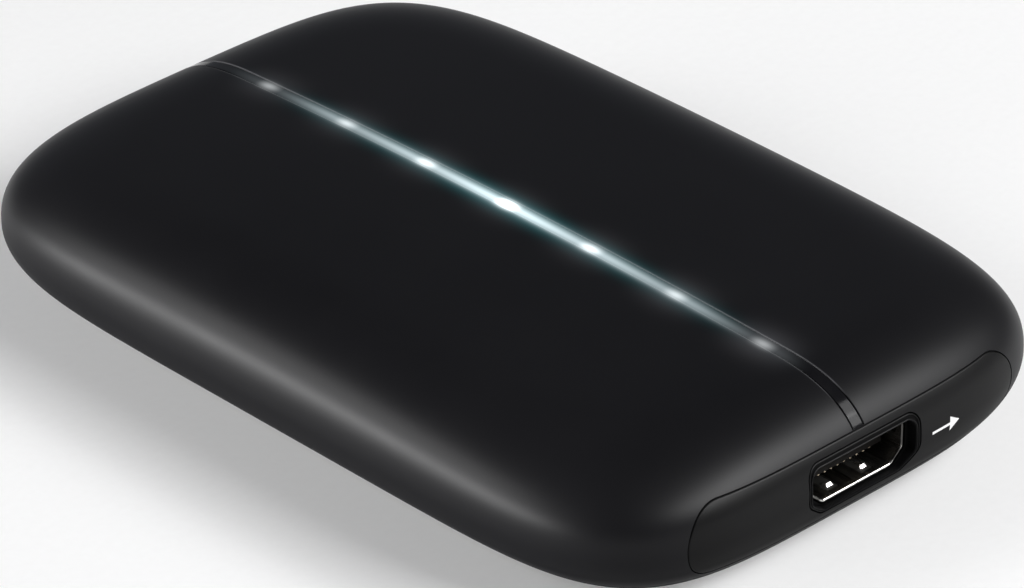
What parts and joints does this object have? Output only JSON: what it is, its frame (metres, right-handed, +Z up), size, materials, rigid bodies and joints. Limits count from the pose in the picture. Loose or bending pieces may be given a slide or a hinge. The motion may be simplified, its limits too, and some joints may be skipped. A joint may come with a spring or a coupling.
{
  "type": "video capture box",
  "caption": "Flat pebble-shaped video capture box with a lit bar along its top, a video output socket in front, and video input, USB-C and audio sockets behind.",
  "frame": {"origin": "middle of the rectangle of the feet, on the surface they stand on", "axes": "+X across the width, +Y from the video output end to the video input end, +Z up"},
  "size_m": [0.0746, 0.112, 0.019],
  "materials": {
    "case": "fine matte grain",
    "insert": "satin",
    "light_bar": "smoked, lit from below",
    "led": "lit",
    "board": "solder mask",
    "chip": "moulded",
    "pad": "soft",
    "heat_sink": "anodised",
    "ceramic": "sintered",
    "ferrite": "moulded",
    "can": "plain",
    "sleeve": "bright",
    "spring": "bright",
    "contact": "gold plated",
    "insulator": "moulded",
    "ferrule": "nickel plated",
    "screw": "blackened",
    "foot": "matte"
  },
  "bodies": {
    "box": {"top_cover": "case", "base_cover": "case", "front_bezel": "insert", "rear_bezel": "insert", "light_bar": "light_bar", "leds": "led", "led_board": "board", "link_header": "insulator", "link_pins": "contact", "main_board": "board", "capture_chip": "chip", "thermal_pad": "pad", "heat_sink": "heat_sink", "video_input_chip": "chip", "video_output_chip": "chip", "usb_chip": "chip", "memory_chips": "chip", "flash_chip": "chip", "inductors": "ferrite", "capacitors": "ceramic", "crystals": "can", "output_port_shell": "sleeve", "output_port_insulator": "insulator", "output_port_contacts": "contact", "input_port_shell": "sleeve", "input_port_insulator": "insulator", "input_port_contacts": "contact", "usb_shell": "sleeve", "usb_tongue": "insulator", "usb_contacts": "contact", "audio_jack_body": "insulator", "audio_jack_ferrule": "ferrule", "case_screws": "screw", "feet": "foot"},
    "output_lower_springs": {"output_port_lower_springs": "spring"},
    "output_upper_springs": {"output_port_upper_springs": "spring"},
    "input_lower_springs": {"input_port_lower_springs": "spring"},
    "input_upper_springs": {"input_port_upper_springs": "spring"},
    "tip_spring": {"audio_tip_spring": "spring"},
    "sleeve_spring": {"audio_sleeve_spring": "spring"}
  },
  "joints": [
    {"name": "output_lower_flex", "type": "hinge", "parent": "box", "child": "output_lower_springs", "pos_m": [0, -0.0497, 0.00655], "axis": [1, 0, 0], "range_deg": [0, 4], "stiffness_Nm_per_rad": 0.06},
    {"name": "output_upper_flex", "type": "hinge", "parent": "box", "child": "output_upper_springs", "pos_m": [0, -0.0497, 0.01145], "axis": [-1, 0, 0], "range_deg": [0, 4], "stiffness_Nm_per_rad": 0.06},
    {"name": "input_lower_flex", "type": "hinge", "parent": "box", "child": "input_lower_springs", "pos_m": [0, 0.0497, 0.00655], "axis": [-1, 0, 0], "range_deg": [0, 4], "stiffness_Nm_per_rad": 0.06},
    {"name": "input_upper_flex", "type": "hinge", "parent": "box", "child": "input_upper_springs", "pos_m": [0, 0.0497, 0.01145], "axis": [1, 0, 0], "range_deg": [0, 4], "stiffness_Nm_per_rad": 0.06},
    {"name": "audio_tip_flex", "type": "hinge", "parent": "box", "child": "tip_spring", "pos_m": [0.01252, 0.0438, 0.00907], "axis": [0, 0, 1], "range_deg": [0, 4], "stiffness_Nm_per_rad": 0.04},
    {"name": "audio_sleeve_flex", "type": "hinge", "parent": "box", "child": "sleeve_spring", "pos_m": [0.01748, 0.0438, 0.00907], "axis": [0, 0, -1], "range_deg": [0, 4], "stiffness_Nm_per_rad": 0.04}
  ]
}
